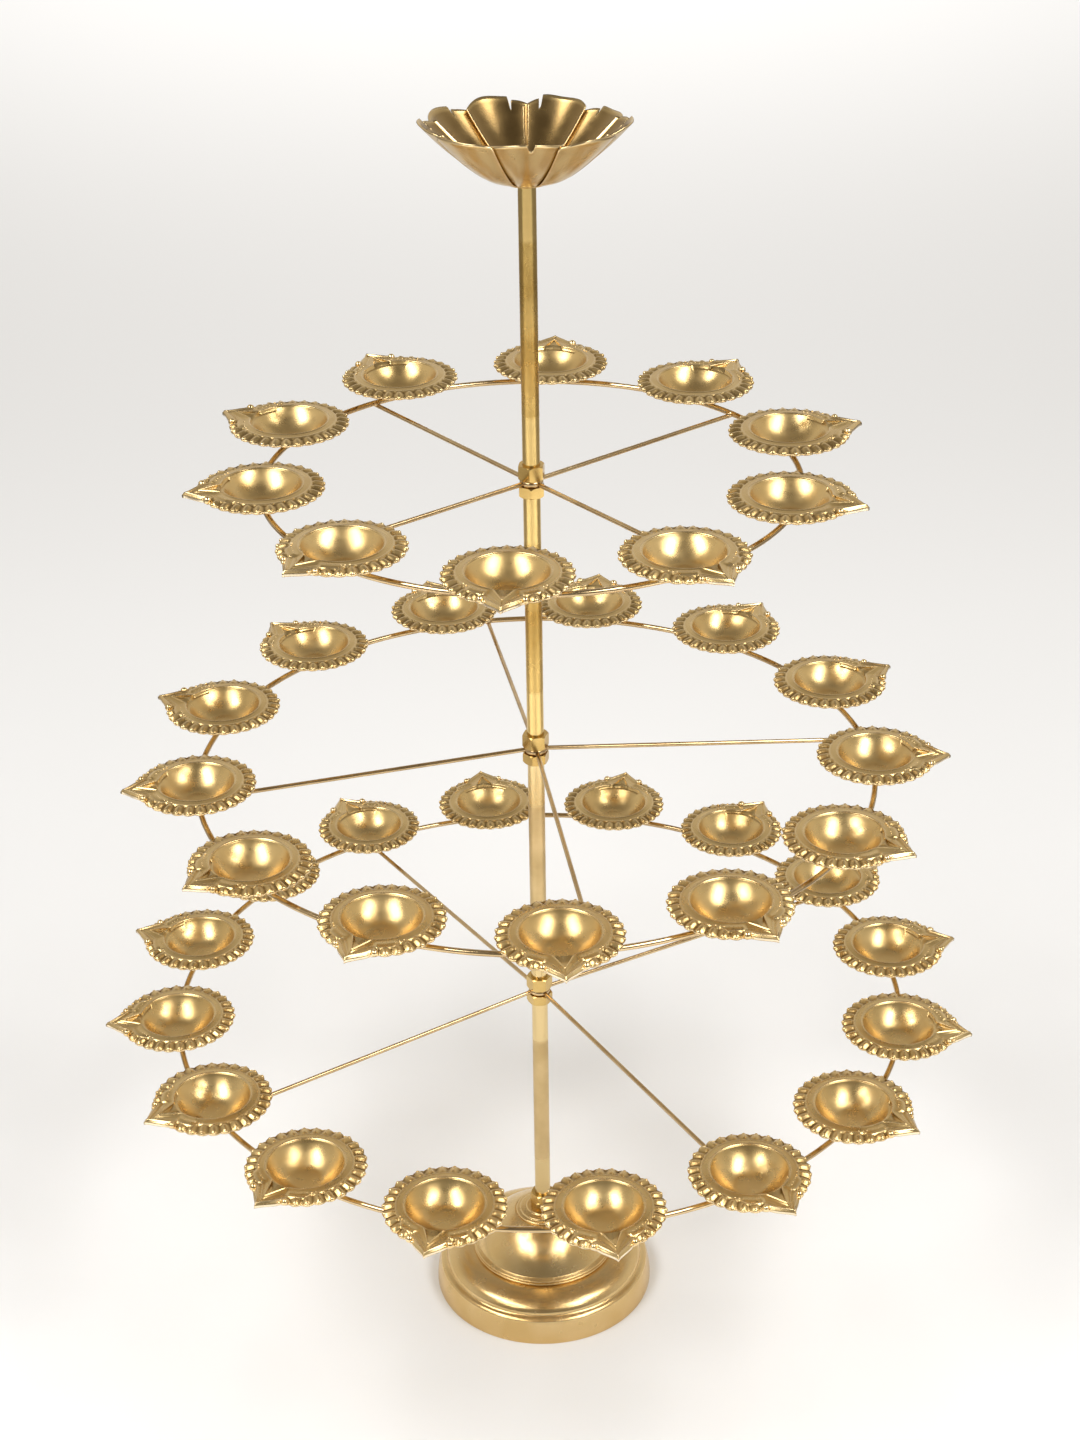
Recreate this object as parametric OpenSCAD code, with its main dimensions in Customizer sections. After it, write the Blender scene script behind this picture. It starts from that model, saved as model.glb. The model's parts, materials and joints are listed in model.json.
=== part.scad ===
// Brass standing oil lamp (samai): three rings of oil cups on a screwed pole.
// Millimetres, +Z up. The origin is the centre of the base's underside.
// The front is -Y. Bearings are in degrees from the back, clockwise from above.

/* [Pole] */
// Height of the lowest hub above the floor
lower_hub_z = 213; // [190:1:240]
// Distance from one hub to the next, and from the top hub to the lotus cup
joint_spacing = 161; // [130:1:200]
// Outside diameter of the pole tube
pole_d = 9.4; // [9:0.1:11]
// Inside diameter of the pole tube
pole_bore_d = 7.2; // [6:0.1:7.6]
// Length of the threaded stud inside each joint
stud_len = 46; // [36:1:60]
// Depth to which a tube end sits inside its nut
socket_depth = 2.6; // [1.5:0.1:4]

/* [Hubs and nuts] */
// Width across the flats of the hexagonal nuts
nut_af = 13; // [12.5:0.1:16]
// Height of the nut above each hub
upper_nut_h = 8; // [6:0.2:12]
// Height of the nut below each hub
lower_nut_h = 6; // [5:0.2:10]
// Thickness of the hub ring that carries the spokes
hub_h = 3.4; // [2.8:0.1:6]
// Outside diameter of the hub ring
hub_d = 12.6; // [11.5:0.1:16]
// Diameter of the spoke wire
spoke_d = 2.5; // [2:0.1:2.8]

/* [Lower tier] */
// Radius of the lower ring
lower_ring_r = 210; // [190:1:240]
// Drop of the lower ring below its hub
lower_ring_drop = 6; // [-5:0.5:15]
// Number of oil cups on the lower ring
lower_cups = 16; // [8:1:16]
// Bearing of the first oil cup on the lower ring
lower_first_bearing = -31.2; // [-180:0.1:180]
// Bearing of the first spoke of the lower tier
lower_spoke_bearing = 58.6; // [-180:0.1:180]

/* [Middle tier] */
// Radius of the middle ring
middle_ring_r = 188; // [165:1:200]
// Drop of the middle ring below its hub
middle_ring_drop = 12; // [-5:0.5:15]
// Number of oil cups on the middle ring
middle_cups = 13; // [8:1:13]
// Bearing of the first oil cup on the middle ring
middle_first_bearing = -17.2; // [-180:0.1:180]
// Bearing of the first spoke of the middle tier
middle_spoke_bearing = 81.2; // [-180:0.1:180]

/* [Upper tier] */
// Radius of the upper ring
upper_ring_r = 142; // [130:1:170]
// Drop of the upper ring below its hub
upper_ring_drop = -1.5; // [-5:0.5:15]
// Number of oil cups on the upper ring
upper_cups = 10; // [6:1:10]
// Bearing of the first oil cup on the upper ring
upper_first_bearing = -31.3; // [-180:0.1:180]
// Bearing of the first spoke of the upper tier
upper_spoke_bearing = 51.8; // [-180:0.1:180]

/* [Ring wire] */
// Diameter of the wire that the rings are bent from
ring_wire_d = 3.2; // [2.8:0.1:4]

/* [Oil cup] */
// Radius of the bowl's opening
bowl_r = 21.2; // [18:0.1:22]
// Radius of the flat foot under the bowl
cup_foot_r = 7.5; // [6:0.1:9]
// Height of the saucer's rim plane above the foot
cup_rim_h = 12.3; // [10:0.1:16]
// Wall thickness of the bowl
bowl_wall = 1.2; // [0.9:0.1:1.6]
// Radius of the scalloped saucer round the bowl
saucer_r = 32.7; // [31:0.1:35]
// Thickness of the saucer
saucer_wall = 1.4; // [1:0.1:2]
// Number of scallops round a full saucer
scallops = 30; // [20:2:36]
// Distance that the wick spout reaches past the saucer
spout_reach = 8.6; // [5:0.1:12]
// Half width of the spout where it leaves the saucer
spout_half_w = 9.5; // [7:0.1:11]

/* [Lotus cup] */
// Largest radius of the lotus cup
lotus_r = 56; // [45:1:70]
// Height of the lotus cup
lotus_h = 35; // [25:1:45]
// Number of petals
petals = 9; // [7:1:12]
// Radius of the flat floor of the lotus cup
lotus_floor_r = 10; // [8:0.5:14]
// Thickness of the petal sheet
petal_wall = 1.2; // [0.9:0.1:2]
// Diameter of the screw that holds the lotus cup
lotus_screw_d = 4; // [3:0.1:4.5]

/* [Base] */
// Radius of the base where it meets the floor
base_r = 66; // [62:0.5:80]
// Height of the band round the edge of the base
band_h = 15.8; // [12:0.2:18]
// Height of the foot where the dome sits on it
foot_h = 25; // [22:0.5:30]
// Radius of the dome where it sits on the foot
dome_r = 42; // [38:0.5:46]
// Height of the dome's flat top above the floor
dome_top_z = 50; // [46:0.5:60]
// Radius of the boss on top of the dome
boss_r = 16.4; // [14:0.2:18]
// Thickness of the cast walls of the base
base_wall = 2; // [1.5:0.1:3]
// Height of each of the two nuts on the boss
base_nut_h = 5.1; // [4.5:0.1:8]

/* [Fits] */
// Gap all round between a thread and its hole
thread_gap = 0.05; // [0.02:0.01:0.1]
// Gap all round where a hub or the lotus cup turns
turning_gap = 0.05; // [0.02:0.01:0.1]
// Gap above and below a piece that turns
end_gap = 0.1; // [0.05:0.05:0.3]
// Gap all round between a tube end and its socket
socket_gap = 0.1; // [0.05:0.05:0.3]
// Depth to which the ring wire is let into a cup's foot
saddle_depth = 0.6; // [0.3:0.1:0.9]
// How far below the middle of its ring wire a spoke ends, so that it passes under the cups
spoke_sink = 1; // [0.9:0.1:1.2]

/* [Hidden] */
$fn = 64;
WHOLE_TURN = 360;
WITHIN = 0.01;

TIERS = ["lower", "middle", "upper"];
TIER_R = [lower_ring_r, middle_ring_r, upper_ring_r];
TIER_DROP = [lower_ring_drop, middle_ring_drop, upper_ring_drop];
TIER_CUPS = [lower_cups, middle_cups, upper_cups];
CUP_BEARING = [lower_first_bearing, middle_first_bearing, upper_first_bearing];
SPOKE_BEARING = [lower_spoke_bearing, middle_spoke_bearing, upper_spoke_bearing];
SPOKES = 4;

// Heights of the hubs and of the rings
function hub_z(tier) = lower_hub_z + tier * joint_spacing;
function ring_z(tier) = hub_z(tier) - TIER_DROP[tier];
lotus_z = hub_z(len(TIERS));

// Joints of the pole
stud_r = pole_bore_d / 2 - thread_gap;
hub_bore_r = stud_r + turning_gap;
socket_r = pole_d / 2 + socket_gap;
nut_r = nut_af / 2 / cos(30);
nut_chamfer = 0.8;
clamp_half = hub_h / 2 + end_gap;
boss_steps = [[boss_r, 1.3], [boss_r - 2.4, 2.5], [10, 3.5]];
boss_top_z = dome_top_z + boss_steps[len(boss_steps) - 1][1];
base_nuts_top = boss_top_z + 2 * base_nut_h;

// Oil cup
wire_r = ring_wire_d / 2;
cup_z_on_wire = wire_r - saddle_depth;
bowl_sphere_z = (bowl_r * bowl_r + cup_rim_h * cup_rim_h - cup_foot_r * cup_foot_r) / (2 * cup_rim_h);
bowl_sphere_r = norm([cup_foot_r, bowl_sphere_z]);
scallop_pitch = WHOLE_TURN / scallops;
scallop_gap_r = 1.5;
rim_drop = 1.4;
lip_r = 0.9;
band_w = 5.2;
ribbed_w = 3.1;
spout_tip = saucer_r + spout_reach;
spout_root = saucer_r - 5;
spout_depth = 3.6;
spout_lip_h = 0.7;
channel_depth = 2.2;
channel_half_w = 5.6;
channel_end = spout_tip - 5;
curl_r = 2.5;

// Lotus cup
lobe_r = 0.45 * lotus_r;
lobe_place_r = lotus_r - lobe_r;
petal_pitch = WHOLE_TURN / petals;
seam_angle = 2.4;
seam_wall = 0.7;
notch_r = 2.2;
petal_flare = 1.5;
curve_steps = 14;
screw_head_r = lotus_screw_d;
screw_head_h = 2;
screw_len = 14;

// Base
crease_r = base_r - 3.4;
shoulder_lip = 2.2;
dome_land_r = boss_r + 1;
bead_r = 0.9;
seat_w = 8;
anchor_flange_r = 14;
anchor_flange_h = 1.5;
anchor_nut_h = 6;

POLE_COLOUR = "#c69a4e";
CUP_COLOUR = "#cfa863";
WIRE_COLOUR = "#b98d52";
BASE_COLOUR = "#c4a05a";
LOTUS_COLOUR = "#b08a4c";
STEEL_COLOUR = "#8d8d86";

function cup_name(tier, i) = str("cup_", TIERS[tier], "_", i < 10 ? "0" : "", i);
POLE_NODES = [for (i = [1:4]) str("pole_section_", i)];
SPIDER_NODES = [for (tier = TIERS) str("spider_", tier)];
RING_NODES = [for (tier = TIERS) str("ring_", tier)];
CUP_NODES = [for (tier = [0:2]) for (i = [1:TIER_CUPS[tier]]) cup_name(tier, i)];
BASE_NODES = ["base_foot", "base_dome", "base_boss", "base_hex_nuts", "base_anchor_nut"];
JOINT_NODES = ["joint_studs", "nuts_above_hubs", "nuts_below_hubs"];
LOTUS_NODES = ["lotus_cup", "lotus_screw"];

// Shared shapes

module at_bearing(bearing) {
    rotate([0, 0, 90 - bearing]) children();
}

module ring_solid(ring_r, thick_r) {
    rotate_extrude($fn = 180) translate([ring_r, 0]) circle(r = thick_r, $fn = 32);
}

// Hexagonal nut with chamfered corners, standing on z = 0
module hex_nut(height, bore_r) {
    difference() {
        intersection() {
            cylinder(r = nut_r, h = height, $fn = 6);
            rotate_extrude()
                polygon([[0, 0], [nut_r - nut_chamfer, 0], [nut_r, nut_chamfer],
                    [nut_r, height - nut_chamfer], [nut_r - nut_chamfer, height], [0, height]]);
        }
        translate([0, 0, -1]) cylinder(r = bore_r, h = height + 2);
    }
}

// Base

// Outside line of the foot, from the floor up to the dome's seat
function foot_line(inset) = [
    for (t = [0:0.25:1]) [base_r - inset - 2.6 * t * t, t * (band_h - 1)],
    [crease_r - inset, band_h - inset],
    for (a = [0:15:90])
        [dome_r + 1 + (crease_r - shoulder_lip - dome_r - 1) * cos(a) - inset * cos(a),
            band_h + 1 + (foot_h - band_h - 1) * sin(a) - inset * sin(a)],
];

module base_foot() {
    color(BASE_COLOUR) rotate_extrude($fn = 120)
        polygon(concat(foot_line(0), [[dome_r - seat_w, foot_h], [dome_r - seat_w, foot_h - base_wall]],
            [for (i = [len(foot_line(0)) - 1:-1:0]) foot_line(base_wall)[i]]));
}

// The dome is part of a sphere between its foot and the flat land under the boss
dome_rise = dome_top_z - foot_h;
dome_centre_z = (dome_top_z + foot_h) / 2 - (pow(dome_r, 2) - pow(dome_land_r, 2)) / (2 * dome_rise);
dome_sphere_r = norm([dome_r, foot_h - dome_centre_z]);
function dome_radius(z, inset) = sqrt(pow(dome_sphere_r - inset, 2) - pow(z - dome_centre_z, 2));
function dome_line(inset) = [for (t = [0:1 / curve_steps:1])
    let (z = foot_h + t * (dome_rise - inset)) [dome_radius(z, inset), z]];

module base_dome() {
    inside = dome_line(base_wall);
    color(BASE_COLOUR) difference() {
        union() {
            rotate_extrude($fn = 120)
                polygon(concat(dome_line(0), [[0, dome_top_z], [0, dome_top_z - base_wall]],
                    [for (i = [len(inside) - 1:-1:0]) inside[i]]));
            for (k = [0:1])
                translate([0, 0, foot_h + bead_r + 1.7 * bead_r * k])
                    ring_solid(dome_r + 0.3 - 0.5 * k, bead_r);
        }
        cylinder(r = pole_bore_d / 2, h = dome_top_z + 1);
    }
}

module base_boss() {
    color(BASE_COLOUR) translate([0, 0, dome_top_z]) difference() {
        union() for (step = boss_steps) cylinder(r = step[0], h = step[1]);
        translate([0, 0, -1]) cylinder(r = pole_bore_d / 2, h = boss_steps[2][1] + 2);
    }
}

module base_hex_nuts() {
    color(POLE_COLOUR) {
        translate([0, 0, boss_top_z]) hex_nut(base_nut_h, pole_bore_d / 2);
        translate([0, 0, boss_top_z + base_nut_h]) rotate([0, 0, 8]) difference() {
            hex_nut(base_nut_h, pole_bore_d / 2);
            translate([0, 0, base_nut_h - socket_depth]) cylinder(r = socket_r, h = base_nut_h);
        }
    }
}

module base_anchor_nut() {
    nut_z = dome_top_z - base_wall - anchor_flange_h;
    color(STEEL_COLOUR) {
        translate([0, 0, nut_z]) difference() {
            cylinder(r = anchor_flange_r, h = anchor_flange_h);
            translate([0, 0, -1]) cylinder(r = pole_bore_d / 2, h = anchor_flange_h + 2);
        }
        translate([0, 0, nut_z - anchor_nut_h]) hex_nut(anchor_nut_h, pole_bore_d / 2);
    }
}

// Pole

// Bottom and top of a tube between two joints, 1 for the lowest
function tube_bottom(i) =
    (i == 1 ? base_nuts_top : hub_z(i - 2) + clamp_half + upper_nut_h) - socket_depth;
function tube_top(i) = i == 4 ? lotus_z : hub_z(i - 1) - clamp_half - lower_nut_h + socket_depth;

module pole_section(i) {
    length = tube_top(i) - tube_bottom(i);
    color(POLE_COLOUR) translate([0, 0, tube_bottom(i)]) difference() {
        cylinder(d = pole_d, h = length);
        translate([0, 0, -1]) cylinder(d = pole_bore_d, h = length + 2);
    }
}

// Threaded studs: one in the base, one through each hub, and a tapped plug under the lotus cup
module joint_studs() {
    base_stud_z = dome_top_z - base_wall - anchor_flange_h - anchor_nut_h;
    color(STEEL_COLOUR) {
        translate([0, 0, base_stud_z]) cylinder(r = stud_r, h = stud_len);
        for (tier = [0:2])
            translate([0, 0, hub_z(tier) - stud_len / 2]) cylinder(r = stud_r, h = stud_len);
        difference() {
            translate([0, 0, lotus_z - stud_len / 2]) cylinder(r = stud_r, h = stud_len / 2);
            translate([0, 0, lotus_z - screw_len])
                cylinder(r = lotus_screw_d / 2 + thread_gap, h = screw_len + 1);
        }
    }
}

module nuts_above_hubs() {
    color(POLE_COLOUR) for (tier = [0:2])
        translate([0, 0, hub_z(tier) + clamp_half]) rotate([0, 0, 11 * tier]) difference() {
            hex_nut(upper_nut_h, pole_bore_d / 2);
            translate([0, 0, upper_nut_h - socket_depth]) cylinder(r = socket_r, h = upper_nut_h);
        }
}

module nuts_below_hubs() {
    color(POLE_COLOUR) for (tier = [0:2])
        translate([0, 0, hub_z(tier) - clamp_half - lower_nut_h]) rotate([0, 0, 14 * tier]) difference() {
            hex_nut(lower_nut_h, pole_bore_d / 2);
            translate([0, 0, -1]) cylinder(r = socket_r, h = socket_depth + 1);
        }
}

// Tiers

// Hub ring with its four spokes, which end on the inside of the ring wire
module spider(tier) {
    reach = TIER_R[tier] - wire_r / 2;
    tilt = 90 + atan2(TIER_DROP[tier] + spoke_sink, TIER_R[tier]);
    color(WIRE_COLOUR) difference() {
        union() {
            translate([0, 0, hub_z(tier) - hub_h / 2]) cylinder(d = hub_d, h = hub_h);
            for (k = [0:SPOKES - 1])
                translate([0, 0, hub_z(tier)]) at_bearing(SPOKE_BEARING[tier] + k * WHOLE_TURN / SPOKES)
                    rotate([0, tilt, 0]) cylinder(d = spoke_d, h = reach);
        }
        translate([0, 0, hub_z(tier) - hub_h]) cylinder(r = hub_bore_r, h = 2 * hub_h);
        translate([0, 0, ring_z(tier)]) ring_solid(TIER_R[tier], wire_r);
    }
}

module ring(tier) {
    color(WIRE_COLOUR) translate([0, 0, ring_z(tier)]) ring_solid(TIER_R[tier], wire_r);
}

// Oil cup, with its foot on z = 0 and its spout along +X

module bowl_space(inset) {
    translate([0, 0, bowl_sphere_z]) sphere(r = bowl_sphere_r - inset);
}

module bowl() {
    difference() {
        intersection() {
            bowl_space(0);
            cylinder(r = saucer_r, h = cup_rim_h);
        }
        intersection() {
            bowl_space(bowl_wall);
            translate([0, 0, bowl_wall]) cylinder(r = saucer_r, h = cup_rim_h);
        }
    }
    translate([0, 0, cup_rim_h]) ring_solid(bowl_r - bowl_wall / 2 + lip_r / 2, lip_r);
}

// Flat saucer band, ribbed ring and the lower flange that the scallops are cut in
module saucer() {
    ribbed_r = bowl_r + band_w;
    edge_r = ribbed_r + ribbed_w;
    top = [[bowl_r - bowl_wall / 2, cup_rim_h], [ribbed_r, cup_rim_h - 0.5],
        [(ribbed_r + edge_r) / 2, cup_rim_h], [edge_r, cup_rim_h - 0.5],
        [edge_r + 0.6, cup_rim_h - rim_drop], [saucer_r, cup_rim_h - rim_drop]];
    rotate_extrude()
        polygon(concat(top, [for (i = [len(top) - 1:-1:0]) top[i] - [0, saucer_wall]]));
}

// Gaps between the scallops of the saucer's edge, all round but at the spout
module scallop_gaps() {
    first_gap = ceil(asin(spout_half_w / saucer_r) / scallop_pitch) + 0.5;
    for (k = [first_gap:scallops - first_gap])
        rotate([0, 0, k * scallop_pitch]) translate([saucer_r + scallop_gap_r / 4, 0, 0])
            cylinder(r = scallop_gap_r, h = cup_rim_h, $fn = 24);
}

// Half width of the spout along its length, from 0 at its root to 1 at its tip
function spout_side(t, side) =
    [spout_root + t * (spout_tip - spout_root), side * spout_half_w * pow(cos(90 * t), 1.4)];

module spout() {
    spout_top = cup_rim_h + spout_lip_h;
    translate([0, 0, spout_top - spout_depth])
        linear_extrude(height = spout_depth)
            polygon(concat([[bowl_r - 2, -spout_half_w]], [for (t = [0:0.125:1]) spout_side(t, -1)],
                [for (t = [0.875:-0.125:0]) spout_side(t, 1)], [[bowl_r - 2, spout_half_w]]));
    for (side = [-1, 1])
        translate([saucer_r - curl_r + 0.4, side * (spout_half_w + 0.6 * curl_r), cup_rim_h - spout_depth])
            cylinder(r = curl_r, h = spout_depth + spout_lip_h, $fn = 24);
}

module wick_channel() {
    translate([0, 0, cup_rim_h + spout_lip_h - channel_depth])
        linear_extrude(height = 2 * channel_depth)
            polygon([[bowl_r - 6, -channel_half_w], [channel_end, 0], [bowl_r - 6, channel_half_w]]);
}

module oil_cup() {
    difference() {
        union() {
            bowl();
            difference() {
                union() {
                    saucer();
                    spout();
                }
                bowl_space(bowl_wall);
            }
        }
        scallop_gaps();
        wick_channel();
    }
}

// An oil cup on its ring, let down onto the wire
module cup_on_ring(tier, i) {
    bearing = CUP_BEARING[tier] + (i - 1) * WHOLE_TURN / TIER_CUPS[tier];
    color(CUP_COLOUR) difference() {
        at_bearing(bearing) translate([TIER_R[tier], 0, ring_z(tier) + cup_z_on_wire]) oil_cup();
        translate([0, 0, ring_z(tier)]) ring_solid(TIER_R[tier], wire_r);
    }
}

// Lotus cup

// Line of the petals from the floor's edge out to the tip
function petal_line(lift) = [for (t = [0:1 / curve_steps:1])
    [lotus_floor_r + t * (lotus_r - lotus_floor_r), lift + (lotus_h - petal_wall) * pow(t, petal_flare)]];

module petal_sheet(low, high) {
    polygon(concat(petal_line(low), [for (i = [curve_steps:-1:0]) petal_line(high)[i]]));
}

module lotus_cup() {
    color(LOTUS_COLOUR) translate([0, 0, lotus_z + end_gap]) difference() {
        intersection() {
            union() {
                rotate_extrude() petal_sheet(0, petal_wall);
                cylinder(r = lotus_floor_r + WITHIN, h = petal_wall);
                for (k = [0:petals - 1])
                    at_bearing(k * petal_pitch) rotate([0, 0, -seam_angle / 2])
                        rotate_extrude(angle = seam_angle) petal_sheet(-seam_wall, petal_wall - WITHIN);
            }
            union() {
                cylinder(r = lotus_r / 2, h = lotus_h);
                for (k = [0:petals - 1])
                    at_bearing((k + 0.5) * petal_pitch) translate([lobe_place_r, 0, 0])
                        cylinder(r = lobe_r, h = lotus_h);
            }
        }
        for (k = [0:petals - 1])
            at_bearing((k + 0.5) * petal_pitch) translate([lotus_r, 0, lotus_h / 2])
                rotate([0, 0, 60]) cylinder(r = notch_r, h = lotus_h, $fn = 3);
        translate([0, 0, -1]) cylinder(r = lotus_screw_d / 2 + turning_gap, h = petal_wall + 2);
    }
}

module lotus_screw() {
    head_z = lotus_z + petal_wall + 2 * end_gap;
    color(POLE_COLOUR) {
        translate([0, 0, head_z]) difference() {
            cylinder(r = screw_head_r, h = screw_head_h);
            translate([0, 0, screw_head_h]) cube([3 * screw_head_r, 1, 2], center = true);
        }
        translate([0, 0, lotus_z - screw_len + 1]) cylinder(d = lotus_screw_d, h = head_z - lotus_z + screw_len - 1);
    }
}

base_foot();
base_dome();
base_boss();
base_hex_nuts();
base_anchor_nut();
for (i = [1:4]) pole_section(i);
joint_studs();
nuts_above_hubs();
nuts_below_hubs();
for (tier = [0:2]) spider(tier);
for (tier = [0:2]) ring(tier);
for (tier = [0:2]) for (i = [1:TIER_CUPS[tier]])
    cup_on_ring(tier, i);
lotus_cup();
lotus_screw();
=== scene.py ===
"""Brass standing oil lamp: three rings of oil cups on a jointed pole, with a lotus cup on top."""

import json
import math

import bpy
import numpy as np
from mathutils import Matrix, Vector


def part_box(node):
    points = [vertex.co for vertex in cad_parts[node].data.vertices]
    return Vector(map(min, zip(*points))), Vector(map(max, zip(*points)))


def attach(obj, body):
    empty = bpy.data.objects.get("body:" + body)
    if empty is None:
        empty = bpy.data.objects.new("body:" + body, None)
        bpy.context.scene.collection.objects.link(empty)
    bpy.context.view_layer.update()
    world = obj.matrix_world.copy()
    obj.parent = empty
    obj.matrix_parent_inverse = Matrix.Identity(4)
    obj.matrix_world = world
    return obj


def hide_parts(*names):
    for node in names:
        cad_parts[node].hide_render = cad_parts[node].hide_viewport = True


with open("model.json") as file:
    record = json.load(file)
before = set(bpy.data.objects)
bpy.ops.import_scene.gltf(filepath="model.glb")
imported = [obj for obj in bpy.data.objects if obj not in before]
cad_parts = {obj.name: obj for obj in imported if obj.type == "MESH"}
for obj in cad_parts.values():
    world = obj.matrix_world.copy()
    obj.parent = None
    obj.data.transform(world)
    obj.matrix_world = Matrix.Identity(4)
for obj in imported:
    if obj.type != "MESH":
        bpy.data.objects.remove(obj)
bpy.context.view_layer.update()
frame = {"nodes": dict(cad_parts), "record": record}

MM = 0.001
TURN = 2 * math.pi
TIERS = ("lower", "middle", "upper")

# ---------------------------------------------------------------- sizes, in millimetres

# Oil cup, measured from the foot under its bowl
CUP_RIM = 12.3  # height of the saucer's rim plane
CUP_SINK = 1.0  # height of the foot above the middle of the ring wire
BOWL_OPENING = 20.8  # radius
BOWL_SPHERE = 23.5  # radius of the inside of the bowl
BOWL_CENTRE = 23.5  # height of that sphere's centre
BOWL_FLOOR = 1.3
CUP_WALL = 1.1
CUP_FOOT = 7.5
RIBBED_FROM = 25.4  # radius where the ribs start
SAUCER = 32.4
RIBS = 30
SPOUT_TIP = 41.1
SPOUT_ROOT = 28.0
SPOUT_HALF_WIDTH = 10.2
CHANNEL_END = 32.0
CHANNEL_HALF_WIDTH = 5.6
CHANNEL_ROOT = 19.0
SPOKE_SINK = 1.0  # how far below the middle of the ring wire a spoke ends
SKIRT = 3.3  # how far the turned-down edge reaches below the rim plane

# Lotus cup
PETALS = 9
PETAL_FLOOR = 10.0
PETAL_SHEET = 0.9
PETAL_FLARE = 1.5

# Pole and hubs
END_BAND = 31.0  # length of the smooth band at each end of a tube
TUBE_BORE = 3.6  # radius
TUBE_SHY = 0.04  # how far the tube's skin lies inside its outer radius
TUBE_RIPPLE = 0.012  # how uneven the turned end bands are
HUB_BORE = 3.62  # radius
HUB_OUTSIDE = 6.3  # radius
HUB_THICK = 3.4
SPOKES = 4
SPOKE_RADIUS = 1.25
HAND_BEND = 0.5  # how far a ring wire strays from a true circle
RING_SHY = 0.15  # how far inside its outer radius a ring wire is kept, to leave room for that

# Base
BASE_BORE = 3.7  # radius
BASE_WALL = 2.0
BAND_HEIGHT = 15.8  # height of the band round the foot
DOME_RIM = 42.0  # radius
LOTUS_BORE = 2.1  # radius


# ---------------------------------------------------------------- meshes


def radius_and_height(node):
    """Outer radius, bottom and top of a round CAD node, in millimetres."""
    low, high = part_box(node)
    return (high[0] - low[0]) / 2 / MM, low[2] / MM, high[2] / MM


def joint_height(name):
    for joint in frame["record"]["behaviour"]["joints"]:
        if joint["name"] == name:
            return joint["pos_m"][2] / MM
    raise KeyError(name)


def bearing_of(node):
    """Angle of a CAD node's middle from +X, in radians, about the pole."""
    mesh = frame["nodes"][node].data
    points = np.empty(len(mesh.vertices) * 3)
    mesh.vertices.foreach_get("co", points)
    points = points.reshape(-1, 3)
    mesh.calc_loop_triangles()
    corners = np.empty(len(mesh.loop_triangles) * 3, dtype=np.int32)
    mesh.loop_triangles.foreach_get("vertices", corners)
    a, b, c = (points[corners.reshape(-1, 3)[:, k]] for k in range(3))
    area = np.linalg.norm(np.cross(b - a, c - a), axis=1)
    middle = ((a + b + c) * area[:, None]).sum(axis=0)
    return math.atan2(middle[1], middle[0])


def closed_grid_faces(columns, rows, pole_first, pole_last):
    """Faces of a tube of rows round a closed ring of columns, with a single point at each end."""
    faces = []
    for i in range(columns):
        j = (i + 1) % columns
        for k in range(rows - 1):
            faces.append((i * rows + k, j * rows + k, j * rows + k + 1, i * rows + k + 1))
        faces.append((pole_first, j * rows, i * rows))
        faces.append((pole_last, i * rows + rows - 1, j * rows + rows - 1))
    return faces


def ring_grid_faces(columns, rows):
    """Faces of a ring whose section is a closed loop of rows."""
    faces = []
    for i in range(columns):
        j = (i + 1) % columns
        for k in range(rows):
            m = (k + 1) % rows
            faces.append((i * rows + k, j * rows + k, j * rows + m, i * rows + m))
    return faces


def outward(points, faces):
    """The same faces, turned so that they point out of the closed shape."""
    volume = 0.0
    for face in faces:
        a = points[face[0]]
        for k in range(1, len(face) - 1):
            volume += float(np.dot(a, np.cross(points[face[k]], points[face[k + 1]])))
    return faces if volume > 0 else [tuple(reversed(face)) for face in faces]


def mesh_from(name, points, faces, wear_and_shade=None):
    """A smooth mesh in metres from points in millimetres. The worn polishing and the painted shade of each
    point are kept as one attribute:
    1 is polished bright by hands and cloths, -1 is painted shade, a dark brown where shade falls."""
    mesh = bpy.data.meshes.new(name)
    mesh.from_pydata((np.asarray(points) * MM).tolist(), [], faces)
    mesh.shade_smooth()
    if wear_and_shade is not None:
        set_wear_and_shade(mesh, wear_and_shade)
    mesh.update()
    return mesh


def set_wear_and_shade(mesh, wear_and_shade):
    mesh.attributes.new("wear_and_shade", "FLOAT", "POINT").data.foreach_set("value", np.asarray(wear_and_shade, dtype=np.float32))


def add_piece(name, mesh, body, material, stands_for=()):
    """Puts a mesh in the scene as a piece that rides on a body."""
    piece = bpy.data.objects.new(name, mesh)
    bpy.context.scene.collection.objects.link(piece)
    mesh.materials.clear()
    mesh.materials.append(material)
    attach(piece, body)
    if stands_for:
        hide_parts(*stands_for)
    return piece


def rounded(outline, radius, steps=4):
    """A closed outline of (radius, height) points with each corner given a small round."""
    result = []
    count = len(outline)
    for k in range(count):
        before, corner, after = (np.array(outline[(k + d) % count], dtype=float) for d in (-1, 0, 1))
        to_before, to_after = before - corner, after - corner
        straightness = -np.dot(to_before, to_after) / (np.linalg.norm(to_before) * np.linalg.norm(to_after))
        if straightness > 0.93:
            result.append(corner)
            continue
        reach = min(radius, np.linalg.norm(to_before) * 0.45, np.linalg.norm(to_after) * 0.45)
        start = corner + to_before / np.linalg.norm(to_before) * reach
        end = corner + to_after / np.linalg.norm(to_after) * reach
        for t in np.linspace(0, 1, steps):
            result.append((1 - t) ** 2 * start + 2 * t * (1 - t) * corner + t * t * end)
    return result


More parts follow.
